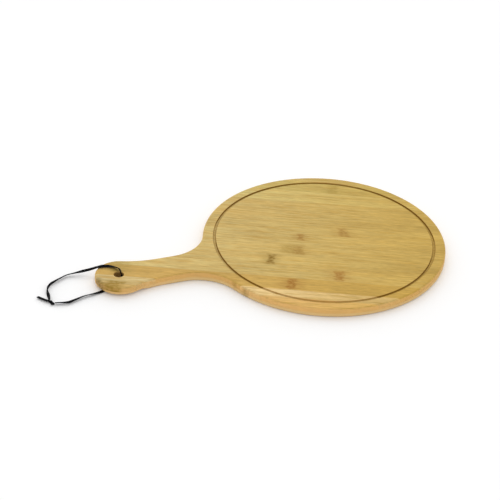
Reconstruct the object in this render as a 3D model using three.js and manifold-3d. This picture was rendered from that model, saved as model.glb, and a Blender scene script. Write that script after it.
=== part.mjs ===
// A round serving board with a paddle handle, pressed from bamboo strips in two plies, with a
// juice groove round its top and a flat lace tied through the hanging hole.
// Millimetres, +Z up. The origin is the middle of the disc's underside, and the handle points to -X.

import * as THREE from 'three';
import { mergeVertices } from 'three/addons/utils/BufferGeometryUtils.js';
import Module from 'manifold-3d';

const wasm = await Module();
wasm.setup();

// Disc
const DISC_RADIUS = 125;
const EDGE_ROUNDING = 2.2;

// Handle: a neck that sweeps into the disc, a waist, and a round end
const HANDLE_LENGTH = 95; // from the disc's rim to the middle of the round end
const WAIST_START = 52; // from the disc's rim to where the waist starts to widen
const WAIST_WIDTH = 35;
const END_FLARE = 7.5; // how far the round end stands out past the waist, on each side
const NECK_RADIUS = 45;
const HANDLE_LIFT = 1.6; // the round end's underside is planed this far above the table
const LIFT_START = 70; // from the disc's rim to the start of the planed slope
const LIFT_SLOPE = 10; // length of that slope
const HOLE_DIAMETER = 10;
const HOLE_OUTSET = 1.3; // the hole's middle lies this far past the middle of the round end

// Juice groove
const GROOVE_INSET = 12; // from the disc's rim to the middle of the groove
const GROOVE_WIDTH = 3;
const GROOVE_DEPTH = 1.3;

// Strips: the grain crosses the handle at an angle, and each ply has seams of its own
const PLY_THICKNESS = 4.9;
const GLUE_LINE = 0.3; // gap between glued faces
const GRAIN_DEGREES = -25.1; // from +X
const STRIP_WIDTH = 21;
const NARROW_STRIP_WIDTH = 14; // the one narrower strip, in front of the top ply's seam at the hole
const TOP_SEAM_OFFSET = -2.5; // across the grain, from the hole's middle to the nearest seam of the ply
const BOTTOM_SEAM_OFFSET = 6.4;
const MIN_EDGE_STRIP = 4; // a seam nearer to the outline than this is left out

// Lace
const LACE_WIDTH = 3.4;
const LACE_THICKNESS = 1;
const LACE_CORNER = 0.25;
const LACE_STEPS = 100;
const TAIL_STEPS = 4;
const LACE_CLEARANCE = 0.22; // between the lace and what it lies on
const KNOT_LENGTH = 8;
const KNOT_WIDTH = 3.8;
const KNOT_HEIGHT = 3.2;

// Fineness of the facets
const FACET_ERROR = 0.06; // how far a facet may lie inside its arc
const ROUNDING_FACETS = 3;
const GROOVE_FACETS = 6;
const KNOT_FACETS = 12;
const OVERCUT = 5; // how far a cutting shape reaches past what it cuts

const BAMBOO_TONES = [0xd8b370, 0xe0c084, 0xcfa862, 0xd4ae68, 0xdab878, 0xcba45e];
const LACE_COLOUR = 0x17171b;

const BOARD_THICKNESS = 2 * PLY_THICKNESS + GLUE_LINE;
const HANDLE_REACH = DISC_RADIUS + HANDLE_LENGTH;
const WAIST_REACH = DISC_RADIUS + WAIST_START;
const GROOVE_RADIUS = DISC_RADIUS - GROOVE_INSET;
const END_RADIUS = WAIST_WIDTH / 2 + END_FLARE;
const HOLE_X = -(HANDLE_REACH + HOLE_OUTSET);
const GRAIN = THREE.MathUtils.degToRad(GRAIN_DEGREES);

// The number of facets that keeps an arc within the facet error
function facets(radius, sweep) {
  const step = 2 * Math.acos(1 - FACET_ERROR / radius);
  return Math.max(2, Math.ceil(Math.abs(sweep) / step));
}

// Points of an arc after its first one, which is the last point of the stretch before it
function arc(centre, radius, from, to) {
  const count = facets(radius, to - from);
  const points = [];
  for (let i = 1; i <= count; i += 1) {
    const angle = from + ((to - from) * i) / count;
    points.push(new THREE.Vector2(
      centre.x + radius * Math.cos(angle),
      centre.y + radius * Math.sin(angle),
    ));
  }
  return points;
}

// The board's outline, counter-clockwise: disc, neck, waist and round end, the same on both sides
function boardOutline() {
  const halfWaist = WAIST_WIDTH / 2;
  const neckY = halfWaist + NECK_RADIUS;
  const neckX = -Math.sqrt((DISC_RADIUS + NECK_RADIUS) ** 2 - neckY ** 2);
  const neckAngle = Math.atan2(neckY, neckX);

  const run = HANDLE_REACH - WAIST_REACH;
  const flareRadius = (run ** 2 + halfWaist ** 2 - END_RADIUS ** 2) / (2 * END_FLARE);
  const flareAngle = Math.atan2(halfWaist + flareRadius, run);

  const disc = new THREE.Vector2(0, 0);
  const end = new THREE.Vector2(-HANDLE_REACH, 0);
  const neck = new THREE.Vector2(neckX, neckY);
  const flare = new THREE.Vector2(-WAIST_REACH, halfWaist + flareRadius);
  const side = [
    ...arc(disc, DISC_RADIUS, 0, neckAngle),
    ...arc(neck, NECK_RADIUS, neckAngle - Math.PI, -Math.PI / 2),
    new THREE.Vector2(-WAIST_REACH, halfWaist),
    ...arc(flare, flareRadius, -Math.PI / 2, flareAngle - Math.PI),
    ...arc(end, END_RADIUS, flareAngle, Math.PI),
  ];
  const tip = side.length - 1;
  const otherSide = side.slice(0, tip).reverse().map((p) => new THREE.Vector2(p.x, -p.y));
  return [...side, ...otherSide, new THREE.Vector2(DISC_RADIUS, 0)];
}

// A closed geometry as a solid that can be joined and cut
function solid(geometry) {
  const bare = geometry.clone();
  bare.deleteAttribute('normal');
  bare.deleteAttribute('uv');
  const merged = mergeVertices(bare, 1e-4);
  const mesh = new wasm.Mesh({
    numProp: 3,
    vertProperties: new Float32Array(merged.attributes.position.array),
    triVerts: new Uint32Array(merged.index.array),
  });
  return new wasm.Manifold(mesh);
}

// A solid as a geometry again
function geometryOf(body) {
  const mesh = body.getMesh();
  const geometry = new THREE.BufferGeometry();
  geometry.setAttribute('position', new THREE.BufferAttribute(mesh.vertProperties, 3));
  geometry.setIndex(new THREE.BufferAttribute(mesh.triVerts, 1));
  geometry.computeVertexNormals();
  return geometry;
}

// A ring turned about the disc's axis, from a closed profile of radius and height, counter-clockwise
function turnedRing(profile, radius) {
  const closed = [...profile, profile[0]].map(([r, z]) => new THREE.Vector2(r, z));
  return solid(new THREE.LatheGeometry(closed, facets(radius, 2 * Math.PI)).rotateX(Math.PI / 2));
}

// The juice groove's cutter, a round-bottomed channel
function grooveCutter() {
  const profile = [[GROOVE_RADIUS - GROOVE_WIDTH / 2, BOARD_THICKNESS + OVERCUT]];
  for (let i = 0; i <= GROOVE_FACETS; i += 1) {
    const angle = (Math.PI * i) / GROOVE_FACETS;
    profile.push([
      GROOVE_RADIUS - (GROOVE_WIDTH / 2) * Math.cos(angle),
      BOARD_THICKNESS - GROOVE_DEPTH * Math.sin(angle),
    ]);
  }
  profile.push([GROOVE_RADIUS + GROOVE_WIDTH / 2, BOARD_THICKNESS + OVERCUT]);
  return turnedRing(profile, GROOVE_RADIUS);
}

// What is planed off under the round end, so that the lace can lie between it and the table
function undersideCutter() {
  const start = DISC_RADIUS + LIFT_START;
  const reach = HANDLE_REACH + END_RADIUS + OVERCUT;
  return turnedRing([
    [reach, -OVERCUT],
    [reach, HANDLE_LIFT],
    [start + LIFT_SLOPE, HANDLE_LIFT],
    [start, 0],
    [start, -OVERCUT],
  ], reach);
}

// The whole board before it is taken apart into strips
function boardBlank(outline) {
  const slab = new THREE.ExtrudeGeometry(new THREE.Shape(outline), {
    depth: BOARD_THICKNESS - 2 * EDGE_ROUNDING,
    bevelThickness: EDGE_ROUNDING,
    bevelSize: EDGE_ROUNDING,
    bevelOffset: -EDGE_ROUNDING,
    bevelSegments: ROUNDING_FACETS,
  });
  slab.translate(0, 0, EDGE_ROUNDING);
  const holeRadius = HOLE_DIAMETER / 2;
  const bore = new THREE.CylinderGeometry(
    holeRadius,
    holeRadius,
    BOARD_THICKNESS + 2 * OVERCUT,
    facets(holeRadius, 2 * Math.PI),
  );
  bore.rotateX(Math.PI / 2).translate(HOLE_X, 0, BOARD_THICKNESS / 2);
  return solid(slab).subtract(solid(bore)).subtract(grooveCutter()).subtract(undersideCutter());
}

// How far a point lies across the grain from the disc's middle
function across(x, y) {
  return y * Math.cos(GRAIN) - x * Math.sin(GRAIN);
}

// Places across the grain where one ply's strips meet, from front to back
function seams(seamOffset, nextWidth, [front, back]) {
  const places = [];
  const holeSeam = across(HOLE_X, 0) + seamOffset;
  for (let w = holeSeam - nextWidth; w > front + MIN_EDGE_STRIP; w -= STRIP_WIDTH) {
    places.unshift(w);
  }
  for (let w = holeSeam; w < back - MIN_EDGE_STRIP; w += STRIP_WIDTH) {
    places.push(w);
  }
  return places;
}

// One ply's strips. A strip that the outline cuts in two leaves a second piece on the handle.
function ply(name, blank, outline, low, seamOffset, nextWidth) {
  const group = new THREE.Group();
  const places = outline.map((p) => across(p.x, p.y));
  const ends = [Math.min(...places), Math.max(...places)];
  const edges = [ends[0] - OVERCUT, ...seams(seamOffset, nextWidth, ends), ends[1] + OVERCUT];
  const length = 2 * (HANDLE_REACH + END_RADIUS + OVERCUT);
  for (let i = 0; i + 1 < edges.length; i += 1) {
    const width = edges[i + 1] - edges[i] - GLUE_LINE;
    const lane = new THREE.BoxGeometry(length, width, PLY_THICKNESS);
    lane.translate(0, (edges[i] + edges[i + 1]) / 2, low + PLY_THICKNESS / 2).rotateZ(GRAIN);
    const pieces = blank.intersect(solid(lane)).decompose();
    pieces.sort((a, b) => b.boundingBox().max[0] - a.boundingBox().max[0]);
    pieces.forEach((piece, k) => {
      const strip = new THREE.Mesh(geometryOf(piece), new THREE.MeshStandardMaterial({
        color: BAMBOO_TONES[i % BAMBOO_TONES.length],
        roughness: 0.5,
        metalness: 0,
      }));
      const number = String(i + 1).padStart(2, '0');
      strip.name = k === 0 ? `${name}_strip_${number}` : `${name}_grip_strip_${number}`;
      group.add(strip);
    });
  }
  return group;
}

// A route for the lace. Each stop has a place and a turn of the flat lace about its own length, in degrees.
class LaceRoute extends THREE.CatmullRomCurve3 {
  constructor(stops) {
    super(stops.map(([x, y, z]) => new THREE.Vector3(x, y, z)), false, 'centripetal');
    this.turns = stops.map((stop) => THREE.MathUtils.degToRad(stop[3]));
  }

  turnAt(t) {
    const spans = this.turns.length - 1;
    const i = Math.min(Math.floor(t * spans), spans - 1);
    return THREE.MathUtils.lerp(this.turns[i], this.turns[i + 1], t * spans - i);
  }

  computeFrenetFrames(steps, closed) {
    const frames = super.computeFrenetFrames(steps, closed);
    frames.tangents.forEach((tangent, i) => {
      const turn = this.turnAt(this.getUtoTmapping(i / steps));
      frames.normals[i].applyAxisAngle(tangent, turn);
      frames.binormals[i].applyAxisAngle(tangent, turn);
    });
    return frames;
  }
}

// A length of flat lace along a route
function lace(name, stops, steps) {
  const h = LACE_THICKNESS / 2;
  const w = LACE_WIDTH / 2;
  const c = LACE_CORNER;
  const section = new THREE.Shape([
    [h, c - w], [h, w - c], [h - c, w], [c - h, w], [-h, w - c], [-h, c - w], [c - h, -w], [h - c, -w],
  ].map(([x, y]) => new THREE.Vector2(x, y)));
  const geometry = new THREE.ExtrudeGeometry(section, { extrudePath: new LaceRoute(stops), steps });
  return laceMesh(name, geometry);
}

function laceMesh(name, geometry) {
  const mesh = new THREE.Mesh(geometry, new THREE.MeshStandardMaterial({
    color: LACE_COLOUR,
    roughness: 0.6,
    metalness: 0,
  }));
  mesh.name = name;
  return mesh;
}

// The lace, tied in a loop through the hole. Its stops are measured from the hole's axis.
function lanyard() {
  const group = new THREE.Group();
  group.position.x = HOLE_X;
  const flat = LACE_CLEARANCE + LACE_THICKNESS / 2; // lying flat on the table
  const top = BOARD_THICKNESS;

  const stops = [
    // from the knot along the table
    [-71.2, -18.3, 1.95, -33],
    [-66.2, -19.3, 1.95, -31],
    [-62.4, -20.5, 1.95, -17],
    [-57.8, -21.1, 1.95, -2],
    [-53.4, -19.7, 1.95, -13],
    [-47.8, -17.6, 1.9, -27],
    [-40.2, -14.9, 1.85, -38],
    [-33.7, -14.0, 1.65, -35],
    [-28.0, -12.9, 1.25, -22],
    // under the round end
    [-22.5, -11.7, 0.82, -4],
    [-14.0, -8.0, flat, 0],
    [-6.5, -3.4, flat, 0],
    [-1.6, -0.9, flat, 0],
    [1.0, -0.2, flat, 0],
    // up through the hole, along its inner wall
    [2.75, 0.1, 1.45, 0],
    [3.6, 0.2, 3.2, 0],
    [3.6, 0.2, 5.4, -2],
    [3.35, 0.3, 7.4, -8],
    [2.8, 0.7, top - 0.4, -20],
    // over the round end
    [2.4, 2.3, top + 2.0, -30],
    [2.1, 5.0, top + 2.7, -40],
    [1.3, 8.2, top + 2.2, -50],
    [-1.4, 11.8, top + 1.6, -72],
    [-6.2, 15.2, top + 1.3, -101],
    [-12.0, 16.6, top + 1.4, -109],
    [-16.8, 17.4, top + 0.75, -86],
    // down to the table and round the loop to the knot
    [-23.2, 19.7, 8.1, -97],
    [-30.6, 22.7, 5.3, -100],
    [-38.3, 24.6, 3.3, -68],
    [-46.4, 25.0, 2.2, -54],
    [-55.9, 20.7, 2.0, -44],
    [-60.9, 17.8, 2.0, -29],
    [-66.1, 14.4, 2.0, -11],
    [-70.9, 8.4, 2.0, -5],
    [-72.9, 2.4, 2.0, -19],
    [-73.5, -4.4, 2.0, -57],
    [-74.6, -11.8, 2.25, -12],
  ];
  group.add(lace('lanyard_cord', stops, LACE_STEPS));

  const knot = new THREE.SphereGeometry(0.5, KNOT_FACETS, KNOT_FACETS / 2);
  knot.scale(KNOT_LENGTH, KNOT_WIDTH, KNOT_HEIGHT);
  const knotMesh = laceMesh('lanyard_knot', knot);
  knotMesh.position.set(-74.6, -14.9, KNOT_HEIGHT / 2 + LACE_CLEARANCE);
  knotMesh.rotation.z = THREE.MathUtils.degToRad(-50);
  group.add(knotMesh);

  group.add(lace('lanyard_tail_long', [
    [-77.8, -11.2, 1.6, 14],
    [-80.8, -7.2, 1.4, 14],
    [-84.0, -2.6, 1.25, 14],
  ], TAIL_STEPS));
  group.add(lace('lanyard_tail_short', [
    [-73.3, -18.8, 1.1, 0],
    [-73.2, -19.6, 1.0, 0],
    [-73.1, -20.4, 0.9, 0],
  ], TAIL_STEPS));
  return group;
}

const outline = boardOutline();
const blank = boardBlank(outline);
const board = new THREE.Group();
board.add(ply('bottom', blank, outline, 0, BOTTOM_SEAM_OFFSET, STRIP_WIDTH));
board.add(ply('top', blank, outline, PLY_THICKNESS + GLUE_LINE, TOP_SEAM_OFFSET, NARROW_STRIP_WIDTH));
board.add(lanyard());

export default board;
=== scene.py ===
"""Looks of a round bamboo serving board with a paddle handle and a flat lace through its hanging hole.

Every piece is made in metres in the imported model's frame. The origin is the middle of the disc's underside, the
handle points to -X and +Z is up. The bamboo strips lie at an angle to the handle, and "along" and "across" below
are measured along and across them.
"""

import logging
import math
from dataclasses import dataclass, field
from enum import Enum
from functools import partial, reduce
from typing import NamedTuple

import bmesh
import bpy
from bmesh.types import BMEdge, BMesh, BMFace, BMVert
from mathutils import Matrix, Vector


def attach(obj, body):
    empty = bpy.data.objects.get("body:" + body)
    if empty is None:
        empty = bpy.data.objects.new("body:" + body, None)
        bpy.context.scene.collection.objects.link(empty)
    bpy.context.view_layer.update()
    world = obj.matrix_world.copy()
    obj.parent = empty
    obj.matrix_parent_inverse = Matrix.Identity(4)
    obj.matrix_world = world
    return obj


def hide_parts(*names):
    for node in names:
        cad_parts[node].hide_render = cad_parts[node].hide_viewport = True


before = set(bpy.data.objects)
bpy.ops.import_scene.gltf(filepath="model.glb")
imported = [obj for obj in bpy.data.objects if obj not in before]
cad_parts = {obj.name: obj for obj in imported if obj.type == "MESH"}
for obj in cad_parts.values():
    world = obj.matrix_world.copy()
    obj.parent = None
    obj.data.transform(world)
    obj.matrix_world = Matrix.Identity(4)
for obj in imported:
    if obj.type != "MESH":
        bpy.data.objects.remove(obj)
log = logging.getLogger("serving_board")

Colour = tuple[float, float, float, float]
Triple = tuple[float, float, float]
Profile = list[tuple[float, float]]
Material = bpy.types.Material
Node = bpy.types.Node
Piece = bpy.types.Object
Socket = bpy.types.NodeSocket
Value = float | Socket
Input = Value | Colour | Triple | Vector

WHITE: Colour = (1.0, 1.0, 1.0, 1.0)
# sockets of a Mix node: share, first and second, for numbers and for colours
NUMBER_INPUTS, NUMBER_OUTPUT = (0, 2, 3), 0
COLOUR_INPUTS, COLOUR_OUTPUT = (0, 6, 7), 2
NOISE_MIDDLE = 0.5
# edges that are sharper than this stay crisp
SHARP = math.radians(40)
# points closer than this are one point
MERGE = 1e-7
# allowance for rounding
NEAR = 1e-6
# only the board's flat top and underside have more corners
QUAD_CORNERS = 4
MILLIMETRE = 0.001


def srgb(*levels: int) -> Colour:
    """Gives a screen colour as the linear colour that a shader takes.

    Args:
        *levels: Red, green and blue, from 0 to 255.

    Returns:
        The linear colour with an alpha of 1.
    """
    shares = [level / 255 for level in levels]
    red, green, blue = (s / 12.92 if s <= 0.04045 else ((s + 0.055) / 1.055) ** 2.4 for s in shares)
    return (red, green, blue, 1.0)


class Tone(Enum):
    """Colours that bamboo strips come in."""

    PALE = srgb(236, 207, 152)
    WHEAT = srgb(206, 185, 131)
    STRAW = srgb(213, 195, 125)
    GOLDEN = srgb(208, 184, 118)
    HONEY = srgb(203, 179, 114)
    TOASTED = srgb(201, 164, 90)
    AMBER = srgb(231, 186, 120)
    FAWN = srgb(210, 176, 109)
    GREENISH = srgb(203, 184, 111)


class Ply(Enum):
    """The two layers of strips."""

    TOP = "top"
    BOTTOM = "bottom"


class Noise(NamedTuple):
    """A noise: waves per metre along X, Y and Z, the number of finer layers, and how strong those are."""

    waves: Triple
    detail: float = 2.0
    roughness: float = 0.6


class Ramp(NamedTuple):
    """A change with soft ends: where it starts and ends, also downwards, and the result at both."""

    start: float
    end: float
    low: float = 0.0
    high: float = 1.0


class Nodes:
    """Adds nodes to a tree and links them."""

    def __init__(self, tree: bpy.types.NodeTree) -> None:
        """Takes the node tree of a material or of the world."""
        self.tree = tree

    def add(self, kind: str, inputs: dict[int | str, Input] | None = None, **settings: str) -> Node:
        """Adds a node.

        Args:
            kind: The part of its type's name that follows ShaderNode.
            inputs: Sockets and values for its inputs, by their names or places.
            **settings: Its other settings.

        Returns:
            The node.
        """
        node = self.tree.nodes.new(f"ShaderNode{kind}")
        for name, value in settings.items():
            setattr(node, name, value)
        for key, value in (inputs or {}).items():
            self.join(node.inputs[key], value)
        return node

    def join(self, target: Socket, value: Input) -> None:
        """Links a socket to an input, or sets the input's own value.

        Args:
            target: The input.
            value: A socket to link, or a number, colour or vector to set.
        """
        if isinstance(value, Socket):
            self.tree.links.new(value, target)
        else:
            target.default_value = value

    def math(self, operation: str, *values: Value) -> Socket:
        """Works out a number by an operation of the Math node."""
        return self.add("Math", dict(enumerate(values)), operation=operation).outputs[0]

    def product(self, *values: Value) -> Socket:
        """Multiplies two or more numbers."""
        return reduce(partial(self.math, "MULTIPLY"), values)

    def vector(self, operation: str, first: Socket, second: Input) -> Node:
        """Works out a vector, or a number from two vectors, by an operation of the Vector Math node."""
        return self.add("VectorMath", {0: first, 1: second}, operation=operation)

    def split(self, place: Socket) -> list[Socket]:
        """Splits a place or direction into its parts along X, Y and Z."""
        return list(self.add("SeparateXYZ", {0: place}).outputs)

    def noise(self, place: Socket, noise: Noise) -> Socket:
        """Adds a noise that is stretched along the axes.

        Args:
            place: Where the noise is read, in metres.
            noise: The noise.

        Returns:
            The noise, with its middle at about 0.5.
        """
        stretched = self.vector("MULTIPLY", place, noise.waves).outputs["Vector"]
        inputs = {"Vector": stretched, "Scale": 1.0, "Detail": noise.detail, "Roughness": noise.roughness}
        return self.add("TexNoise", inputs).outputs["Fac"]

    def ease(self, value: Socket, ramp: Ramp) -> Socket:
        """Maps a number onto a ramp."""
        inputs = dict(enumerate((value, *ramp)))
        return self.add("MapRange", inputs, interpolation_type="SMOOTHSTEP").outputs[0]

    def blend(self, share: Value, first: Socket | Colour, second: Socket | Colour) -> Socket:
        """Mixes two colours by the share of the second."""
        inputs = dict(zip(COLOUR_INPUTS, (share, first, second)))
        return self.add("Mix", inputs, data_type="RGBA").outputs[COLOUR_OUTPUT]


class Shader(Nodes):
    """The nodes of one new material."""

    def __init__(self, name: str) -> None:
        """Makes the material.

        Args:
            name: Name of the material.
        """
        self.material = bpy.data.materials.new(name)
        self.material.use_nodes = True
        super().__init__(self.material.node_tree)
        self.surface = self.tree.nodes["Principled BSDF"].inputs

    def coat(self, colour: Socket | Colour, roughness: Value, specular: float) -> None:
        """Gives the surface its colour and sheen."""
        for name, value in (("Base Color", colour), ("Roughness", roughness), ("Specular IOR Level", specular)):
            self.join(self.surface[name], value)

    def bump(self, height: Socket, distance: float) -> None:
        """Roughens the surface by a height from 0 to 1, where 1 stands for a distance in metres."""
        node = self.add("Bump", {"Height": height, "Distance": distance})
        self.join(self.surface["Normal"], node.outputs[0])


@dataclass(frozen=True)
class Knuckle:
    """A growth ring of the bamboo, which shows as a ragged brown mark across a strip."""

    along: float
    across: float
    half_length: float
    half_width: float
    depth: float
    halo: float
    colour: Colour
    slant: float = 0.0
    flare: float = 0.2
    wobble: Noise = Noise((120.0, 260.0, 60.0))
    wobble_size: float = 0.008
    mottle: Noise = Noise((220.0, 420.0, 300.0), 3.0)
    mottle_ramp: Ramp = Ramp(0.36, 0.62, 0.55, 1.0)
    whiskers: Noise = Noise((22.0, 500.0, 500.0))
    whisker_ramp: Ramp = Ramp(0.35, 0.7, 0.35, 1.0)
    side_ramp: Ramp = Ramp(1.25, 0.55)
    core_ramp: Ramp = Ramp(1.5, 0.3)
    halo_ramp: Ramp = Ramp(3.4, 0.4)


@dataclass(frozen=True)
class Bamboo:
    """How the oiled bamboo looks. The noises lie along, across and through the strips."""

    grain: float
    top: float
    groove_radius: float
    groove_half_width: float
    hole_x: float
    hole_radius: float
    specular: float = 0.08
    roughness: float = 0.44
    streak_roughness: float = 0.12
    relief: float = 0.00004

    # fibres, and how much each pattern lightens the strip
    fibre_shift: Triple = (0.37, 0.011, 0.05)
    streaks: Noise = Noise((24.0, 380.0, 380.0), 4.0)
    threads: Noise = Noise((90.0, 900.0, 900.0))
    clouds: Noise = Noise((9.0, 55.0, 55.0))
    pores: Noise = Noise((70.0, 2300.0, 2300.0), 1.0)
    pore_ramp: Ramp = Ramp(0.62, 0.75)
    plain_light: float = 0.18
    streak_light: float = 0.52
    thread_light: float = 0.74
    cloud_light: float = 0.42
    pore_light: float = -0.12

    # warm patches, brown streaks, and a painted fall-off of light and sheen that leaves the strips darker and warmer
    # further along them, away from the handle
    warm_colour: Colour = srgb(206, 164, 84)
    patches: Noise = Noise((9.0, 110.0, 110.0))
    patch_ramp: Ramp = Ramp(0.4, 0.7, 0.0, 0.4)
    brown_ramp: Ramp = Ramp(0.54, 0.34, 0.0, 0.7)
    painted_falloff_colour: Colour = srgb(193, 155, 60)
    painted_falloff_ramp: Ramp = Ramp(-0.20, 0.15, 0.0, 0.7)

    # sides of the board, by direction, in a warm colour that is partly their own and partly painted light, and their
    # paler foot, by depth below the top, which is painted light thrown up from the floor
    side_colour_and_light: Colour = srgb(246, 194, 122)
    side_ramp: Ramp = Ramp(0.95, 0.2)
    side_light_share: float = 0.6
    painted_foot_light: Colour = srgb(236, 208, 152)
    foot_light_ramp: Ramp = Ramp(0.00404, 0.008585, 0.0, 0.75)
    dot_colour: Colour = srgb(150, 100, 40)
    dots: Noise = Noise((900.0, 900.0, 900.0), 1.0)
    dot_ramp: Ramp = Ramp(0.5, 0.68, 0.0, 0.4)
    end_ramp: Ramp = Ramp(0.35, 0.9)

    # wall of the hole, burnt by the drill and darkened further by painted shade, by distance from it and by depth
    bore_burn_and_shade_colour: Colour = srgb(96, 66, 16)
    bore_ramp: Ramp = Ramp(0.0007, 0.0001)
    bore_depth: Ramp = Ramp(0.0004, 0.0016, 0.0, 0.5)

    # groove, burnt by the cutter, with painted shade that darkens its walls more than its floor and most where they
    # face the front, by distance from it, by direction of its walls and by depth, which leaves the underside out
    groove_burn_and_shade_colour: Colour = srgb(118, 82, 0)
    groove_ramp: Ramp = Ramp(0.0003, -0.0001)
    groove_depth: Ramp = Ramp(0.0, 0.0002)
    groove_limit: Ramp = Ramp(0.00505, 0.00404)
    wall_burn_and_shade: Ramp = Ramp(0.98, 0.75, 0.3, 0.6)
    front_wall_shade: Ramp = Ramp(-0.02, -0.12)
    end_burn: Ramp = Ramp(0.1, 0.45, 0.72, 0.95)
    wear: Noise = Noise((60.0, 260.0, 260.0))
    wear_ramp: Ramp = Ramp(0.3, 0.7, 0.95, 1.0)
    pale_tones: tuple[Tone, ...] = (Tone.PALE, Tone.AMBER)
    pale_burn: float = 0.55


class StripFinish(Shader):
    """The finish of one strip: fibres, knuckles, sides warmed partly by painted light, burnt cuts darkened further by
    painted shade, and a painted fall-off of light along the strips.
    """

    def __init__(self, name: str, bamboo: Bamboo, number: int) -> None:
        """Makes the material, and finds places and directions on the strip.

        Args:
            name: Name of the strip.
            bamboo: The bamboo.
            number: Moves the fibres, so that no two strips look the same.
        """
        super().__init__(f"bamboo_{name}")
        self.bamboo = bamboo
        coordinates = self.add("TexCoord").outputs
        place = coordinates["Object"]
        self.x, self.y, height = self.split(place)
        self.depth = self.math("SUBTRACT", bamboo.top, height)
        self.level = self.turned(place)
        self.along, self.across, _ = self.split(self.level)
        self.fibres = self.turned(place, tuple(number * part for part in bamboo.fibre_shift))
        self.facing = self.split(self.turned(coordinates["Normal"]))

    def turned(self, place: Socket, shift: Triple = (0.0, 0.0, 0.0)) -> Socket:
        """Turns a place or direction so that X lies along the strip and Y across it, and shifts it after that."""
        inputs = {"Vector": place, "Location": shift, "Rotation": (0.0, 0.0, -self.bamboo.grain)}
        return self.add("Mapping", inputs).outputs[0]

    def distance(self, axis_x: float) -> Socket:
        """Measures how far a place is from an upright axis on the handle's line."""
        x = self.math("SUBTRACT", self.x, axis_x)
        return self.math("SQRT", self.math("ADD", self.product(x, x), self.product(self.y, self.y)))

    def build(self, tone: Tone, knuckles: list[Knuckle]) -> Material:
        """Puts the finish together.

        Args:
            tone: The strip's colour.
            knuckles: The growth rings on the strip.

        Returns:
            The material.
        """
        bamboo = self.bamboo
        streaks, threads, clouds, pores, patches = (
            self.noise(self.fibres, noise)
            for noise in (bamboo.streaks, bamboo.threads, bamboo.clouds, bamboo.pores, bamboo.patches)
        )
        light: Value = bamboo.plain_light
        for pattern, share in (
            (streaks, bamboo.streak_light), (threads, bamboo.thread_light), (clouds, bamboo.cloud_light),
            (self.ease(pores, bamboo.pore_ramp), bamboo.pore_light),
        ):
            light = self.math("ADD", light, self.product(pattern, share))

        warmth = self.math("MAXIMUM", self.ease(patches, bamboo.patch_ramp), self.ease(streaks, bamboo.brown_ramp))
        colour = self.blend(warmth, tone.value, bamboo.warm_colour)
        # painted fall-off of light and sheen: darker and warmer further along the strips
        falloff_share = self.ease(self.along, bamboo.painted_falloff_ramp)
        colour = self.blend(falloff_share, colour, bamboo.painted_falloff_colour)
        colour = self.edged(self.vector("MULTIPLY", colour, light).outputs["Vector"])
        for knuckle in knuckles:
            colour = self.marked(colour, knuckle)
        colour = self.grooved(self.bored(colour), bamboo.pale_burn if tone in bamboo.pale_tones else 1.0)

        roughness = self.math("ADD", bamboo.roughness, self.product(streaks, bamboo.streak_roughness))
        self.coat(colour, roughness, bamboo.specular)
        self.bump(self.math("ADD", streaks, threads), bamboo.relief)
        return self.material

    def marked(self, colour: Socket, knuckle: Knuckle) -> Socket:
        """Draws a knuckle.

        Args:
            colour: The strip's colour.
            knuckle: The growth ring.

        Returns:
            The colour with the mark on it.
        """
        side = self.math("SUBTRACT", self.across, knuckle.across)
        reach = self.math("DIVIDE", side, knuckle.half_width)
        flare = self.math("ADD", 1.0 - knuckle.flare / 2, self.product(reach, reach, knuckle.flare))
        wobble = self.math("SUBTRACT", self.noise(self.level, knuckle.wobble), NOISE_MIDDLE)
        offset = self.math("SUBTRACT", self.along, knuckle.along)
        offset = self.math("SUBTRACT", offset, self.product(side, knuckle.slant))
        offset = self.math("ABSOLUTE", self.math("ADD", offset, self.product(wobble, knuckle.wobble_size)))
        offset = self.math("DIVIDE", offset, self.product(flare, knuckle.half_length))

        inside = self.ease(self.math("ABSOLUTE", reach), knuckle.side_ramp)
        mottle = self.ease(self.noise(self.level, knuckle.mottle), knuckle.mottle_ramp)
        core = self.product(self.ease(offset, knuckle.core_ramp), mottle)
        whiskers = self.ease(self.noise(self.level, knuckle.whiskers), knuckle.whisker_ramp)
        halo = self.product(self.ease(offset, knuckle.halo_ramp), whiskers, knuckle.halo)
        mark = self.product(self.math("MAXIMUM", core, halo), inside, knuckle.depth)
        return self.blend(mark, colour, knuckle.colour)

    def edged(self, colour: Socket) -> Socket:
        """Colours the sanded sides of the board warm and lighter, partly their own colour and partly painted light,
        pales their foot with painted light thrown up from the floor, and speckles the ends of the fibres there.

        Args:
            colour: The strip's colour.

        Returns:
            The colour with the sides on it.
        """
        bamboo = self.bamboo
        along, _, up = (self.math("ABSOLUTE", part) for part in self.facing)
        side = self.ease(up, bamboo.side_ramp)
        foot = self.ease(self.depth, bamboo.foot_light_ramp)
        ends = self.ease(along, bamboo.end_ramp)
        dots = self.ease(self.noise(self.fibres, bamboo.dots), bamboo.dot_ramp)
        # warm, lighter sides: partly their own colour, partly painted light
        colour = self.blend(self.product(side, bamboo.side_light_share), colour, bamboo.side_colour_and_light)
        colour = self.blend(self.product(ends, dots), colour, bamboo.dot_colour)
        # paler foot of the sides: painted light thrown up from the floor
        return self.blend(self.product(side, foot), colour, bamboo.painted_foot_light)

    def bored(self, colour: Socket) -> Socket:
        """Darkens the wall of the hanging hole, partly with the drill's burn and partly with painted shade.

        Args:
            colour: The strip's colour.

        Returns:
            The colour with the hole on it.
        """
        bamboo = self.bamboo
        offset = self.math("SUBTRACT", self.distance(bamboo.hole_x), bamboo.hole_radius)
        # the wall's dark colour is partly the drill's burn, partly painted shade in the hole
        mark = self.product(self.ease(offset, bamboo.bore_ramp), self.ease(self.depth, bamboo.bore_depth))
        return self.blend(mark, colour, bamboo.bore_burn_and_shade_colour)

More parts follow.
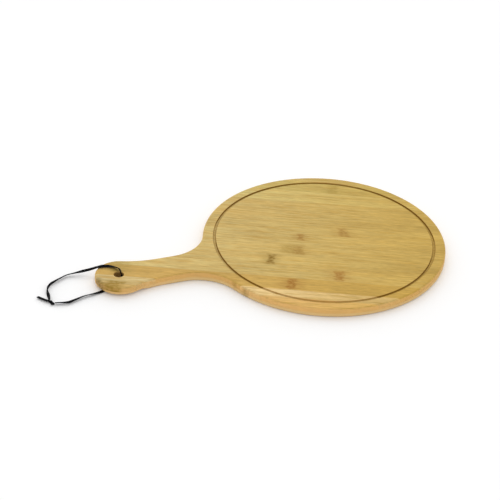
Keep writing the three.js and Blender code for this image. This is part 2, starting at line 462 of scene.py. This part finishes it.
    def grooved(self, colour: Socket, burn: float) -> Socket:
        """Darkens the cut of the juice groove with the cutter's burn, most where fibres are cut off, and with painted
        shade, on its walls more than its floor and most on walls that face the front.

        Args:
            colour: The strip's colour.
            burn: How much the cutter has burnt this strip.

        Returns:
            The colour with the groove on it.
        """
        bamboo = self.bamboo
        along, across, up = self.facing
        ends = self.ease(self.math("ABSOLUTE", along), bamboo.end_burn)
        # painted shade on the walls that face the front, away from the window light behind the board
        front = self.product(self.ease(across, bamboo.front_wall_shade), ends)
        # walls darker than the groove's floor: partly the cutter's burn, partly painted shade
        burnt = self.math("MAXIMUM", self.ease(up, bamboo.wall_burn_and_shade), front)
        offset = self.math("ABSOLUTE", self.math("SUBTRACT", self.distance(0.0), bamboo.groove_radius))
        offset = self.math("SUBTRACT", offset, bamboo.groove_half_width)
        deep = self.product(self.ease(self.depth, bamboo.groove_depth), self.ease(self.depth, bamboo.groove_limit))
        worn = self.ease(self.noise(self.fibres, bamboo.wear), bamboo.wear_ramp)
        mark = self.product(self.ease(offset, bamboo.groove_ramp), burnt, deep, worn, burn)
        return self.blend(mark, colour, bamboo.groove_burn_and_shade_colour)


@dataclass(frozen=True)
class Leather:
    """How the black flat lace looks, a little rubbed."""

    colour: Colour = srgb(6, 6, 8)
    worn_colour: Colour = srgb(18, 17, 23)
    specular: float = 0.05
    roughness: float = 0.45
    pore_roughness: float = 0.25
    relief: float = 0.00008
    pores: Noise = Noise((2600.0, 2600.0, 2600.0), 3.0)
    patches: Noise = Noise((240.0, 240.0, 240.0))
    patch_ramp: Ramp = Ramp(0.5, 0.75, 0.0, 0.5)

    def material(self) -> Material:
        """Makes the material.

        Returns:
            The material.
        """
        shader = Shader("lace_leather")
        place = shader.add("TexCoord").outputs["Object"]
        pores = shader.noise(place, self.pores)
        rubbed = shader.ease(shader.noise(place, self.patches), self.patch_ramp)
        roughness = shader.math("ADD", self.roughness, shader.product(pores, self.pore_roughness))
        shader.coat(shader.blend(rubbed, self.colour, self.worn_colour), roughness, self.specular)
        shader.bump(pores, self.relief)
        return shader.material


def link_mesh(name: str, mesh: BMesh, material: Material) -> Piece:
    """Makes an object and puts it into the scene.

    Args:
        name: Name of the object.
        mesh: Its shape, which is freed.
        material: Its finish.

    Returns:
        The object.
    """
    data = bpy.data.meshes.new(name)
    mesh.to_mesh(data)
    mesh.free()
    data.materials.append(material)
    made = bpy.data.objects.new(name, data)
    bpy.context.scene.collection.objects.link(made)
    return made


def put_piece(name: str, mesh: BMesh, material: Material, body: str) -> Piece:
    """Makes a finished piece that stands for the solid of the same name.

    Args:
        name: Name of the solid.
        mesh: The piece's shape, which is freed.
        material: Its finish.
        body: The body that it moves with.

    Returns:
        The piece.
    """
    for face in mesh.faces:
        face.smooth = True
    for edge in mesh.edges:
        edge.smooth = edge.is_manifold and edge.calc_face_angle(0.0) < SHARP
    piece = link_mesh(f"{name}_dressed", mesh, material)
    normals = piece.modifiers.new("even_shading", "WEIGHTED_NORMAL")
    normals.keep_sharp = True
    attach(piece, body)
    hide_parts(name)
    log.info("%s: %d faces", piece.name, len(piece.data.polygons))
    return piece


@dataclass
class Board:
    """The board: a disc with a groove, and a waisted handle with a hole, pressed from two plies of strips."""

    disc_radius: float = 0.125
    thickness: float = 0.0101
    edge_rounding: float = 0.0022
    rounding_steps: int = 8
    handle_length: float = 0.095
    waist_start: float = 0.052
    waist_width: float = 0.035
    end_flare: float = 0.0075
    neck_radius: float = 0.045
    handle_lift: float = 0.0016
    lift_start: float = 0.070
    lift_slope: float = 0.010
    slope_margin: float = 0.004
    slope_step: float = 0.001
    slope_cuts: int = 17
    slope_lane: float = 0.005
    slope_lanes: int = 5
    hole_radius: float = 0.005
    hole_outset: float = 0.0013
    hole_lip: float = 0.0005
    groove_inset: float = 0.012
    groove_width: float = 0.003
    groove_depth: float = 0.0013
    groove_lip: float = 0.0003
    groove_facets: int = 12
    lip_facets: int = 4
    grain: float = math.radians(-25.1)
    strip_width: float = 0.021
    narrow_strip_width: float = 0.014
    top_seam_offset: float = -0.0025
    bottom_seam_offset: float = 0.0064
    min_edge_strip: float = 0.004
    seam: float = 0.00006
    facet_error: float = 0.00001
    grip_limit: float = -0.150
    bottom_seed: int = 20
    knuckles: dict[str, list[Knuckle]] = field(default_factory=dict)
    grip_tones: dict[str, Tone] = field(default_factory=dict)

    @property
    def hole_x(self) -> float:
        """Place of the hanging hole's axis along the handle."""
        return -(self.disc_radius + self.handle_length + self.hole_outset)

    @property
    def groove_radius(self) -> float:
        """Radius to the middle of the juice groove."""
        return self.disc_radius - self.groove_inset

    @property
    def middle(self) -> float:
        """Height of the glue line between the plies."""
        return self.thickness / 2

    def steps(self, radius: float, sweep: float) -> int:
        """Counts the facets of an arc.

        Args:
            radius: Radius of the arc.
            sweep: Its angle.

        Returns:
            The number that keeps the facets within the facet error.
        """
        return math.ceil(abs(sweep) / (2 * math.acos(1 - self.facet_error / radius)))

    def arc(self, mesh: BMesh, start: BMVert, centre: Vector, sweep: float) -> BMVert:
        """Draws an arc from a point.

        Args:
            mesh: The mesh to draw in.
            start: The arc's first point.
            centre: Its centre.
            sweep: Its angle, counter-clockwise from above.

        Returns:
            The arc's last point.
        """
        steps = self.steps((start.co - centre).length, sweep)
        made = bmesh.ops.spin(mesh, geom=[start], cent=centre, axis=(0, 0, 1), angle=sweep, steps=steps)
        return next(item for item in made["geom_last"] if isinstance(item, BMVert))

    def outline(self, mesh: BMesh) -> BMFace:
        """Draws the board's outline: disc, neck, waist and round end, the same on both sides.

        Args:
            mesh: An empty mesh to draw in.

        Returns:
            The outline's face.
        """
        half_waist = self.waist_width / 2
        neck_y = half_waist + self.neck_radius
        neck_x = -math.sqrt((self.disc_radius + self.neck_radius) ** 2 - neck_y**2)
        neck_angle = math.atan2(neck_y, neck_x)
        run = self.handle_length - self.waist_start
        end_radius = half_waist + self.end_flare
        flare_radius = (run**2 + half_waist**2 - end_radius**2) / (2 * self.end_flare)
        flare_angle = math.atan2(half_waist + flare_radius, run)
        waist_x = -(self.disc_radius + self.waist_start)

        rim = mesh.verts.new((self.disc_radius, 0, 0))
        neck = self.arc(mesh, rim, Vector((0, 0, 0)), neck_angle)
        waist = self.arc(mesh, neck, Vector((neck_x, neck_y, 0)), math.pi / 2 - neck_angle)
        flare = mesh.verts.new((waist_x, half_waist, 0))
        mesh.edges.new((waist, flare))
        end = self.arc(mesh, flare, Vector((waist_x, half_waist + flare_radius, 0)), flare_angle - math.pi / 2)
        self.arc(mesh, end, Vector((waist_x - run, 0, 0)), math.pi - flare_angle)
        half = mesh.verts[:] + mesh.edges[:]
        bmesh.ops.mirror(mesh, geom=half, matrix=Matrix.Identity(4), merge_dist=NEAR, axis="Y")
        bmesh.ops.remove_doubles(mesh, verts=mesh.verts[:], dist=MERGE)
        return bmesh.ops.contextual_create(mesh, geom=mesh.edges[:])["faces"][0]

    def turn(self, mesh: BMesh, profile: Profile, axis_x: float) -> None:
        """Turns a profile about an upright axis.

        Args:
            mesh: The mesh to add the turned surface to.
            profile: Radius and height of each point.
            axis_x: Place of the axis along the handle.
        """
        points = [mesh.verts.new((axis_x + radius, 0, height)) for radius, height in profile]
        edges = [mesh.edges.new(pair) for pair in zip(points, points[1:])]
        steps = self.steps(max(radius for radius, _ in profile), 2 * math.pi)
        bmesh.ops.spin(
            mesh, geom=points + edges, cent=(axis_x, 0, 0), axis=(0, 0, 1), angle=2 * math.pi, steps=steps,
            use_merge=True,
        )

    def lip(self, size: float) -> Profile:
        """Rounds off the lip of a cut.

        Args:
            size: Radius of the rounding.

        Returns:
            How far each point is outside the cut's wall, and its height.
        """
        angles = [math.pi / 2 * i / self.lip_facets for i in range(self.lip_facets + 1)]
        return [(size - size * math.sin(a), self.thickness - size + size * math.cos(a)) for a in angles]

    def groove_profile(self) -> Profile:
        """Draws the groove's section, with softened lips and a round bottom.

        Returns:
            Radius and height of each point.
        """
        half = self.groove_width / 2
        left = [(-half - out, height) for out, height in self.lip(self.groove_lip)[:-1]]
        floor, depth = self.thickness - self.groove_lip, self.groove_depth - self.groove_lip
        angles = [math.pi * i / self.groove_facets for i in range(self.groove_facets + 1)]
        bottom = [(-half * math.cos(a), floor - depth * math.sin(a)) for a in angles]
        right = [(-offset, height) for offset, height in reversed(left)]
        return [(self.groove_radius + offset, height) for offset, height in left + bottom + right]

    def hole_profile(self) -> Profile:
        """Draws the wall of the hanging hole, with softened lips.

        Returns:
            Radius and height of each point.
        """
        upper = [(self.hole_radius + out, height) for out, height in self.lip(self.hole_lip)]
        return upper + [(radius, self.thickness - height) for radius, height in reversed(upper)]

    def blank(self) -> BMesh:
        """Makes the whole board before it is taken apart into strips.

        Returns:
            The closed board.
        """
        mesh = bmesh.new()
        made = bmesh.ops.extrude_face_region(mesh, geom=[self.outline(mesh)], use_keep_orig=True)
        raised = [item for item in made["geom"] if isinstance(item, BMVert)]
        bmesh.ops.translate(mesh, verts=raised, vec=(0, 0, self.thickness))
        bmesh.ops.recalc_face_normals(mesh, faces=mesh.faces[:])
        rims = {edge for face in mesh.faces if len(face.verts) > QUAD_CORNERS for edge in face.edges}
        bmesh.ops.bevel(
            mesh, geom=list(rims), offset=self.edge_rounding, offset_type="OFFSET", segments=self.rounding_steps,
            profile=0.5, affect="EDGES", material=-1,
        )
        flats = [face for face in mesh.faces if len(face.verts) > QUAD_CORNERS]
        bmesh.ops.delete(mesh, geom=flats, context="FACES_ONLY")
        self.turn(mesh, self.groove_profile(), 0.0)
        self.turn(mesh, self.hole_profile(), self.hole_x)
        self.fill_top(mesh)
        self.fill_underside(mesh)
        bmesh.ops.recalc_face_normals(mesh, faces=mesh.faces[:])
        return mesh

    def fill_top(self, mesh: BMesh) -> None:
        """Closes the top face inside and outside the groove.

        Args:
            mesh: The board's mesh.
        """
        inner: list[BMEdge] = []
        outer: list[BMEdge] = []
        for edge in mesh.edges:
            if edge.is_boundary and min(v.co.z for v in edge.verts) > self.thickness - NEAR:
                inside = max(v.co.xy.length for v in edge.verts) < self.groove_radius
                (inner if inside else outer).append(edge)
        bmesh.ops.contextual_create(mesh, geom=inner)
        bmesh.ops.triangle_fill(mesh, edges=outer, use_beauty=True, use_dissolve=False, normal=(0, 0, 1))

    def fill_underside(self, mesh: BMesh) -> None:
        """Closes the underside, and planes it off under the round end so that the lace can lie there.

        Args:
            mesh: The board's mesh.
        """
        open_edges = [e for e in mesh.edges if e.is_boundary]
        bmesh.ops.triangle_fill(mesh, edges=open_edges, use_beauty=True, use_dissolve=False, normal=(0, 0, -1))
        start = self.disc_radius + self.lift_start
        end = start + self.lift_slope
        first, lanes = start - self.slope_margin, self.slope_lanes
        cuts = [(Vector((-(first + self.slope_step * i), 0, 0)), Vector((1, 0, 0))) for i in range(self.slope_cuts)]
        cuts += [(Vector((0, self.slope_lane * i, 0)), Vector((0, 1, 0))) for i in range(-lanes, lanes + 1)]
        for place, normal in cuts:
            faces = {f for f in mesh.faces if max(v.co.z for v in f.verts) < self.middle}
            geom = [*faces, *{e for f in faces for e in f.edges}, *{v for f in faces for v in f.verts}]
            bmesh.ops.bisect_plane(mesh, geom=geom, dist=MERGE, plane_co=place, plane_no=normal)
        for vert in mesh.verts:
            if vert.co.z < self.middle:
                share = min(max((vert.co.xy.length - start) / (end - start), 0.0), 1.0)
                vert.co.z += self.handle_lift * share * share * (3 - 2 * share)

    def cut(self, mesh: BMesh, place: Vector, outwards: Vector) -> None:
        """Saws off what lies beyond a plane, and closes the sawn face.

        Args:
            mesh: The mesh to saw.
            place: A point on the plane.
            outwards: The plane's normal, towards what is taken off.
        """
        geom = mesh.verts[:] + mesh.edges[:] + mesh.faces[:]
        made = bmesh.ops.bisect_plane(mesh, geom=geom, dist=MERGE, plane_co=place, plane_no=outwards, clear_outer=True)
        sawn = [item for item in made["geom_cut"] if isinstance(item, BMEdge)]
        bmesh.ops.triangle_fill(mesh, edges=sawn, use_beauty=True, use_dissolve=False, normal=outwards)

    def seams(self, ply: Ply) -> list[float]:
        """Lists where the strips of a ply meet, from front to back.

        Args:
            ply: The ply.

        Returns:
            Places across the grain.
        """
        offset, next_width = self.bottom_seam_offset, self.strip_width
        if ply is Ply.TOP:
            offset, next_width = self.top_seam_offset, self.narrow_strip_width
        limit = self.disc_radius - self.min_edge_strip
        places = [-self.hole_x * math.sin(self.grain) + offset]
        while places[-1] + self.strip_width < limit:
            places.append(places[-1] + self.strip_width)
        front = places[0] - next_width
        while front > -limit:
            places.insert(0, front)
            front -= self.strip_width
        return places

    def strips(self, ply: Ply, blank: BMesh) -> dict[str, BMesh]:
        """Saws a ply into its strips.

        Args:
            ply: The ply.
            blank: The whole board.

        Returns:
            Each strip's mesh by the name of its solid.
        """
        side = 1 if ply is Ply.TOP else -1
        half = blank.copy()
        self.cut(half, Vector((0, 0, self.middle + side * self.seam / 2)), Vector((0, 0, -side)))
        back = Vector((-math.sin(self.grain), math.cos(self.grain), 0))
        places = self.seams(ply)
        made: dict[str, BMesh] = {}
        for i in range(len(places) + 1):
            strip = half.copy()
            if i > 0:
                self.cut(strip, back * (places[i - 1] + self.seam / 2), -back)
            if i < len(places):
                self.cut(strip, back * (places[i] - self.seam / 2), back)
            for word in ("strip", "grip_strip"):
                name = f"{ply.value}_{word}_{i + 1:02d}"
                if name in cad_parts:
                    made[name] = self.part_of(strip, name)
            strip.free()
        half.free()
        return made

    def part_of(self, strip: BMesh, name: str) -> BMesh:
        """Picks the part of a sawn strip that lies where its solid does, on the disc or on the handle.

        Args:
            strip: The sawn strip.
            name: Name of the solid.

        Returns:
            A new mesh with that part alone.
        """
        part = strip.copy()
        on_grip = "grip" in name
        if on_grip or name.replace("strip", "grip_strip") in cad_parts:
            stray = [v for v in part.verts if (v.co.x < self.grip_limit) is not on_grip]
            bmesh.ops.delete(part, geom=stray, context="VERTS")
        bmesh.ops.remove_doubles(part, verts=part.verts[:], dist=MERGE)
        bmesh.ops.recalc_face_normals(part, faces=part.faces[:])
        return part

    def build(self, bamboo: Bamboo, tones: dict[Ply, list[Tone]]) -> None:
        """Makes every strip and dresses it.

        Args:
            bamboo: The bamboo.
            tones: Colours of each ply's strips, from front to back.
        """
        blank = self.blank()
        for ply in Ply:
            for name, mesh in self.strips(ply, blank).items():
                number = int(name[-2:])
                tone = self.grip_tones.get(name, tones[ply][number - 1])
                seed = number + (self.bottom_seed if ply is Ply.BOTTOM else 0)
                material = StripFinish(name, bamboo, seed).build(tone, self.knuckles.get(name, []))
                put_piece(name, mesh, material, "board")
        blank.free()


class Stop(NamedTuple):
    """A point on the lace's route, and how far the flat lace is turned about its own length there, in degrees."""

    x: float
    y: float
    z: float
    turn: float


@dataclass
class Lace:
    """A length of flat lace along a route."""

    stops: list[Stop]
    width: float = 0.0034
    thickness: float = 0.0010
    corner: float = 0.00025
    span_steps: int = 8
    corner_steps: int = 2

    def points(self) -> tuple[list[Vector], list[float]]:
        """Works out the route as a smooth line through its stops, without loops between them.

        Returns:
            The line's points, and the turn at each.
        """
        places = [Vector((s.x, s.y, s.z)) for s in self.stops]
        before = 2 * places[0] - places[1]
        after = 2 * places[-1] - places[-2]
        padded = [before, *places, after]
        points, turns = [], []
        for i in range(len(places) - 1):
            p0, p1, p2, p3 = padded[i:i + 4]
            d0, d1, d2 = ((b - a).length ** 0.5 for a, b in ((p0, p1), (p1, p2), (p2, p3)))
            t1 = ((p1 - p0) / d0 - (p2 - p0) / (d0 + d1) + (p2 - p1) / d1) * d1
            t2 = ((p2 - p1) / d1 - (p3 - p1) / (d1 + d2) + (p3 - p2) / d2) * d1
            for k in range(self.span_steps + (i == len(places) - 2)):
                u = k / self.span_steps
                cubic = (2 * p1 - 2 * p2 + t1 + t2) * u**3 + (-3 * p1 + 3 * p2 - 2 * t1 - t2) * u**2
                points.append(cubic + t1 * u + p1)
                turns.append(math.radians(self.stops[i].turn * (1 - u) + self.stops[i + 1].turn * u))
        return points, turns

    def places(self) -> list[Matrix]:
        """Works out where the lace's section lies along the route.

        Returns:
            A matrix for each point, with X through the lace's thickness, Y across its width and Z along it.
        """
        points, turns = self.points()
        ends = [points[0], *points, points[-1]]
        tangents = [(ends[i + 2] - ends[i]).normalized() for i in range(len(points))]
        side = tangents[0].cross(Vector((0, 0, 1))).normalized()
        normal = tangents[0].cross(side)
        made = []
        for i, (point, tangent, turn) in enumerate(zip(points, tangents, turns)):
            if i:
                normal = tangents[i - 1].rotation_difference(tangent) @ normal
                normal = (normal - tangent * normal.dot(tangent)).normalized()
            through = Matrix.Rotation(turn, 3, tangent) @ normal
            axes = Matrix((through, tangent.cross(through), tangent)).transposed()
            made.append(Matrix.Translation(point) @ axes.to_4x4())
        return made

    def section(self, mesh: BMesh, place: Matrix) -> BMFace:
        """Draws the lace's section, an oblong with soft corners.

        Args:
            mesh: The mesh to draw in.
            place: Where the section lies.

        Returns:
            The section's face.
        """
        size = Matrix.Diagonal((self.thickness, self.width, 1, 1))
        made = bmesh.ops.create_grid(mesh, x_segments=1, y_segments=1, size=0.5, matrix=size)
        soft = bmesh.ops.bevel(
            mesh, geom=made["verts"], offset=self.corner, offset_type="OFFSET", segments=self.corner_steps,
            profile=0.5, affect="VERTICES", material=-1,
        )
        face = soft["verts"][0].link_faces[0]
        bmesh.ops.transform(mesh, verts=face.verts[:], matrix=place)
        return face

    def sweep(self, mesh: BMesh) -> list[Vector]:
        """Draws the lace along its route.

        Args:
            mesh: The mesh to draw in.

        Returns:
            The middle of each section.
        """
        places = self.places()
        face = self.section(mesh, places[0])
        for i, (last, place) in enumerate(zip(places, places[1:])):
            made = bmesh.ops.extrude_face_region(mesh, geom=[face], use_keep_orig=i == 0)
            verts = [item for item in made["geom"] if isinstance(item, BMVert)]
            face = next(item for item in made["geom"] if isinstance(item, BMFace))
            bmesh.ops.transform(mesh, verts=verts, matrix=place @ last.inverted())
        bmesh.ops.recalc_face_normals(mesh, faces=mesh.faces[:])
        return [place.translation.copy() for place in places]


@dataclass
class Lanyard:
    """The lace that is tied in a loop through the hanging hole, with its knot and two tails."""

    hole_x: float
    top: float
    flat: float = 0.00072
    width: float = Lace.width
    knot_place: Triple = (-0.0746, -0.0149, 0.00182)
    knot_turn: float = math.radians(-54)
    core_size: Triple = (0.00352, 0.001254, 0.001152)
    winding_size: Triple = (0.0024, 0.001216, 0.001152)
    winding_taper: float = 0.8
    winding_turns: float = 2.0
    winding_stops: int = 25
    pulled_width: float = 0.6
    pulled_thickness: float = 0.0006
    pulled_corner: float = 0.0002
    pulled_steps: int = 4
    core_facets: tuple[int, int] = (24, 16)

    def routes(self) -> dict[str, list[Stop]]:
        """Lists the stops of the two tails out of the knot, and of the loop from the knot through the hole and back.

        Returns:
            The stops by the names of the solids.
        """
        flat, top = self.flat / MILLIMETRE, self.top / MILLIMETRE
        return {
            "lanyard_tail_long": self.at_hole(
                (-76.3, -13.1, 1.7, 14), (-77.8, -11.2, 1.6, 14), (-80.8, -7.2, 1.4, 14), (-84.0, -2.6, 1.25, 14),
            ),
            "lanyard_tail_short": self.at_hole(
                (-73.8, -17.2, 1.6, 0), (-73.3, -18.8, 1.4, 0), (-73.2, -19.6, 1.2, 0),
            ),
            "lanyard_cord": self.at_hole(
                # from the knot along the table
                (-71.2, -18.3, 1.95, -33), (-66.2, -19.3, 1.95, -31), (-62.4, -20.5, 1.95, -17),
                (-57.8, -21.1, 1.95, -2), (-53.4, -19.7, 1.95, -13), (-47.8, -17.6, 1.90, -27),
                (-40.2, -14.9, 1.85, -38), (-33.7, -14.0, 1.65, -35), (-28.0, -12.9, 1.25, -22),
                # under the round end
                (-22.5, -11.7, 0.82, -4), (-14.0, -8.0, flat, 0), (-6.5, -3.4, flat, 0),
                (-1.6, -0.9, flat, 0), (1.0, -0.2, flat, 0),
                # up through the hole, along its inner wall
                (2.75, 0.1, 1.45, 0), (3.6, 0.2, 3.2, 0), (3.6, 0.2, 5.4, -2),
                (3.35, 0.3, 7.4, -8), (2.8, 0.7, top - 0.4, -20),
                # over the round end
                (2.4, 2.3, top + 2.0, -30), (2.1, 5.0, top + 2.7, -40), (1.3, 8.2, top + 2.2, -50),
                (-1.4, 11.8, top + 1.6, -72), (-6.2, 15.2, top + 1.3, -101), (-12.0, 16.6, top + 1.4, -109),
                (-16.8, 17.4, top + 0.75, -86),
                # down to the table and round the loop to the knot
                (-23.2, 19.7, 8.1, -97), (-30.6, 22.7, 5.3, -100), (-38.3, 24.6, 3.3, -68),
                (-46.4, 25.0, 2.2, -54), (-55.9, 20.7, 2.0, -44), (-60.9, 17.8, 2.0, -29),
                (-66.1, 14.4, 2.0, -11), (-70.9, 8.4, 2.0, -5), (-72.9, 2.4, 2.0, -19),
                (-73.5, -4.4, 2.0, -57), (-74.6, -11.8, 2.25, -12),
            ),
        }

    def at_hole(self, *rows: tuple[float, ...]) -> list[Stop]:
        """Makes stops from places that are measured from the hole's axis.

        Args:
            *rows: Place of each stop in millimetres, and the lace's turn.

        Returns:
            The stops, in metres in the board's frame.
        """
        made = []
        for *place, turn in rows:
            x, y, z = (part * MILLIMETRE for part in place)
            made.append(Stop(x + self.hole_x, y, z, turn))
        return made

    def knot_route(self) -> list[Stop]:
        """Lists the stops of the lace that is wound round the knot, in the knot's own frame, with its flat side out.

        Returns:
            The stops.
        """
        length, width, height = self.winding_size
        made = []
        for i in range(self.winding_stops):
            share = 2 * i / (self.winding_stops - 1) - 1
            angle = self.winding_turns * math.pi * share
            waist = math.sqrt(1 - (self.winding_taper * share) ** 2)
            made.append(Stop(length * share, width * waist * math.cos(angle), height * waist * math.sin(angle), 0))
        turned = []
        for stop, place in zip(made, Lace(made, span_steps=1).places()):
            through, along = place.col[0].to_3d(), place.col[2].to_3d()
            outwards = Vector((0, stop.y, stop.z)).normalized()
            turn = math.degrees(math.atan2(along.dot(through.cross(outwards)), through.dot(outwards)))
            # a flat lace looks the same after half a turn
            last = turned[-1].turn if turned else turn
            turned.append(Stop(stop.x, stop.y, stop.z, turn - 180 * round((turn - last) / 180)))
        return turned

    def knot(self) -> BMesh:
        """Makes the knot: the lace wound round a tight core.

        Returns:
            The knot's mesh.
        """
        mesh = bmesh.new()
        size = Matrix.Diagonal((*self.core_size, 1))
        around, along = self.core_facets
        bmesh.ops.create_uvsphere(mesh, u_segments=around, v_segments=along, radius=1, matrix=size)
        Lace(
            self.knot_route(), width=self.pulled_width * self.width, thickness=self.pulled_thickness,
            corner=self.pulled_corner, span_steps=self.pulled_steps,
        ).sweep(mesh)
        x, y, z = self.knot_place
        place = Matrix.Translation((x + self.hole_x, y, z)) @ Matrix.Rotation(self.knot_turn, 4, "Z")
        bmesh.ops.transform(mesh, verts=mesh.verts[:], matrix=place)
        return mesh

    def build(self, leather: Material) -> None:
        """Makes the lace, its knot and its tails, and dresses them.

        Args:
            leather: Their finish.
        """
        pieces = [put_piece("lanyard_knot", self.knot(), leather, "lanyard")]
        for name, stops in self.routes().items():
            mesh = bmesh.new()
            path = Lace(stops).sweep(mesh)
            pieces.append(put_piece(name, mesh, leather, "lanyard"))


@dataclass
class Studio:
    """A white floor, soft light and the camera."""

    azimuth: float = math.radians(-22.6)
    elevation: float = math.radians(32.83)
    roll: float = math.radians(3.24)
    distance: float = 2.0529
    target: Triple = (-0.0742, 0.0185, 0.0)
    lens: float = 144.0
    sensor: float = 36.0
    view_end: float = 50.0
    floor_size: float = 6.0
    floor_height: float = -0.0001
    floor_colour: Colour = (0.94, 0.94, 0.94, 1.0)
    floor_glow: float = 0.09
    room: float = 0.74
    window: float = 0.98
    window_side: Triple = (0.30, 0.85, 0.42)
    window_edge: float = 0.35

    def camera(self) -> None:
        """Puts the camera at the photograph's angle."""
        turn = Matrix.Rotation(self.azimuth, 4, "Z") @ Matrix.Rotation(math.pi / 2 - self.elevation, 4, "X")
        turn = turn @ Matrix.Rotation(self.roll, 4, "Z")
        data = bpy.data.cameras.new("camera")
        data.lens = self.lens
        data.sensor_width = self.sensor
        data.clip_end = self.view_end
        camera = bpy.data.objects.new("camera", data)
        camera.matrix_world = Matrix.Translation(self.target) @ turn @ Matrix.Translation((0, 0, self.distance))
        bpy.context.scene.collection.objects.link(camera)
        bpy.context.scene.camera = camera

    def floor(self) -> None:
        """Lays a matt white floor just under the board."""
        mesh = bmesh.new()
        place = Matrix.Translation((0, 0, self.floor_height))
        bmesh.ops.create_grid(mesh, x_segments=1, y_segments=1, size=self.floor_size / 2, matrix=place)
        shader = Shader("floor_paper")
        shader.coat(self.floor_colour, roughness=1.0, specular=0.0)
        seen = shader.add("LightPath").outputs["Is Camera Ray"]
        shader.join(shader.surface["Emission Color"], WHITE)
        shader.join(shader.surface["Emission Strength"], shader.product(seen, self.floor_glow))
        floor = link_mesh("floor", mesh, shader.material)

    def light(self) -> None:
        """Lights the room evenly, with a wide soft window low behind the board."""
        world = bpy.data.worlds.new("room")
        world.use_nodes = True
        nodes = Nodes(world.node_tree)
        background = nodes.tree.nodes["Background"].inputs
        nodes.join(background["Color"], WHITE)

        direction = nodes.add("TexCoord").outputs["Generated"]
        towards = nodes.vector("DOT_PRODUCT", direction, Vector(self.window_side).normalized()).outputs["Value"]
        lit = nodes.ease(towards, Ramp(self.window_edge, 1.0, self.room, self.room + self.window))
        rays = nodes.add("LightPath").outputs
        seen = nodes.math("MAXIMUM", rays["Is Camera Ray"], rays["Is Transmission Ray"])
        seen = nodes.math("MAXIMUM", seen, rays["Is Glossy Ray"])
        strength = nodes.add("Mix", dict(zip(NUMBER_INPUTS, (seen, lit, 1.0))))
        nodes.join(background["Strength"], strength.outputs[NUMBER_OUTPUT])
        bpy.context.scene.world = world

    def build(self) -> None:
        """Sets up the camera, the floor, the light and plain colours."""
        bpy.context.scene.view_settings.view_transform = "Standard"
        self.camera()
        self.floor()
        self.light()


OLIVE = srgb(146, 114, 18)
BARK = srgb(116, 92, 34)
MOSS = srgb(150, 134, 62)
BROWN = srgb(150, 96, 8)

# along, across, half length, half width, depth, halo and colour of each strip's knuckles
KNUCKLES = {
    "top_strip_02": [Knuckle(-0.0765, -0.1040, 0.0055, 0.0050, 0.5, 0.2, BARK)],
    "top_strip_03": [
        Knuckle(-0.0286, -0.0860, 0.0064, 0.0105, 0.8, 0.5, srgb(150, 90, 2)),
        Knuckle(-0.0885, -0.0957, 0.0055, 0.0065, 0.6, 0.25, OLIVE),
        Knuckle(-0.2010, -0.0800, 0.0130, 0.0120, 0.4, 0.4, MOSS),
    ],
    "top_strip_04": [
        Knuckle(0.0179, -0.0650, 0.0062, 0.0105, 0.75, 0.5, srgb(156, 96, 4)),
        Knuckle(-0.2030, -0.0720, 0.0130, 0.0120, 0.45, 0.4, MOSS),
    ],
    "top_strip_05": [Knuckle(-0.0525, -0.0440, 0.0054, 0.0105, 0.9, 0.5, srgb(128, 94, 2), flare=0.5)],
    "top_strip_06": [
        Knuckle(-0.0362, -0.0225, 0.0085, 0.0085, 0.42, 0.3, OLIVE),
        Knuckle(-0.0250, -0.0230, 0.0072, 0.0100, 0.62, 0.5, srgb(146, 102, 8)),
    ],
    "top_strip_07": [Knuckle(-0.0242, 0.0020, 0.0042, 0.0075, 0.65, 0.4, BROWN)],
    "top_strip_08": [Knuckle(0.0192, 0.0165, 0.0060, 0.0095, 0.6, 0.4, BROWN, slant=-0.3)],
    "top_strip_12": [Knuckle(0.0045, 0.1020, 0.0070, 0.0105, 0.4, 0.5, OLIVE)],
    "top_grip_strip_01": [
        Knuckle(-0.2040, -0.1150, 0.0105, 0.0075, 0.8, 0.3, OLIVE),
        Knuckle(-0.2180, -0.1150, 0.0055, 0.0070, 0.75, 0.3, BARK),
    ],
    "top_grip_strip_02": [
        Knuckle(-0.2010, -0.1105, 0.0115, 0.0060, 0.9, 0.4, OLIVE),
        Knuckle(-0.2195, -0.1100, 0.0045, 0.0075, 0.7, 0.3, BARK),
    ],
    "bottom_strip_02": [
        Knuckle(-0.0765, -0.1040, 0.0060, 0.0060, 0.5, 0.2, BARK),
        Knuckle(-0.0885, -0.0957, 0.0050, 0.0060, 0.45, 0.2, OLIVE),
    ],
    "bottom_grip_strip_01": [Knuckle(-0.2165, -0.1160, 0.0060, 0.0075, 0.65, 0.3, BARK)],
}

TONES = {
    Ply.TOP: [
        Tone.AMBER, Tone.PALE, Tone.TOASTED, Tone.GOLDEN, Tone.HONEY, Tone.GOLDEN, Tone.GOLDEN,
        Tone.HONEY, Tone.GOLDEN, Tone.HONEY, Tone.STRAW, Tone.GREENISH, Tone.HONEY,
    ],
    Ply.BOTTOM: [
        Tone.AMBER, Tone.AMBER, Tone.GOLDEN, Tone.HONEY, Tone.STRAW, Tone.GOLDEN,
        Tone.HONEY, Tone.TOASTED, Tone.GOLDEN, Tone.STRAW, Tone.HONEY, Tone.GOLDEN,
    ],
}

GRIP_TONES = {"top_grip_strip_01": Tone.FAWN, "top_grip_strip_02": Tone.WHEAT}


def main() -> None:
    """Builds the studio, the lace and the board."""
    logging.basicConfig(level=logging.INFO, format="%(message)s")
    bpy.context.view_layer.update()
    Studio().build()
    board = Board(knuckles=KNUCKLES, grip_tones=GRIP_TONES)
    Lanyard(hole_x=board.hole_x, top=board.thickness).build(Leather().material())
    bamboo = Bamboo(
        grain=board.grain, top=board.thickness, groove_radius=board.groove_radius,
        groove_half_width=board.groove_width / 2, hole_x=board.hole_x, hole_radius=board.hole_radius,
    )
    board.build(bamboo, TONES)


if __name__ == "__main__":
    main()
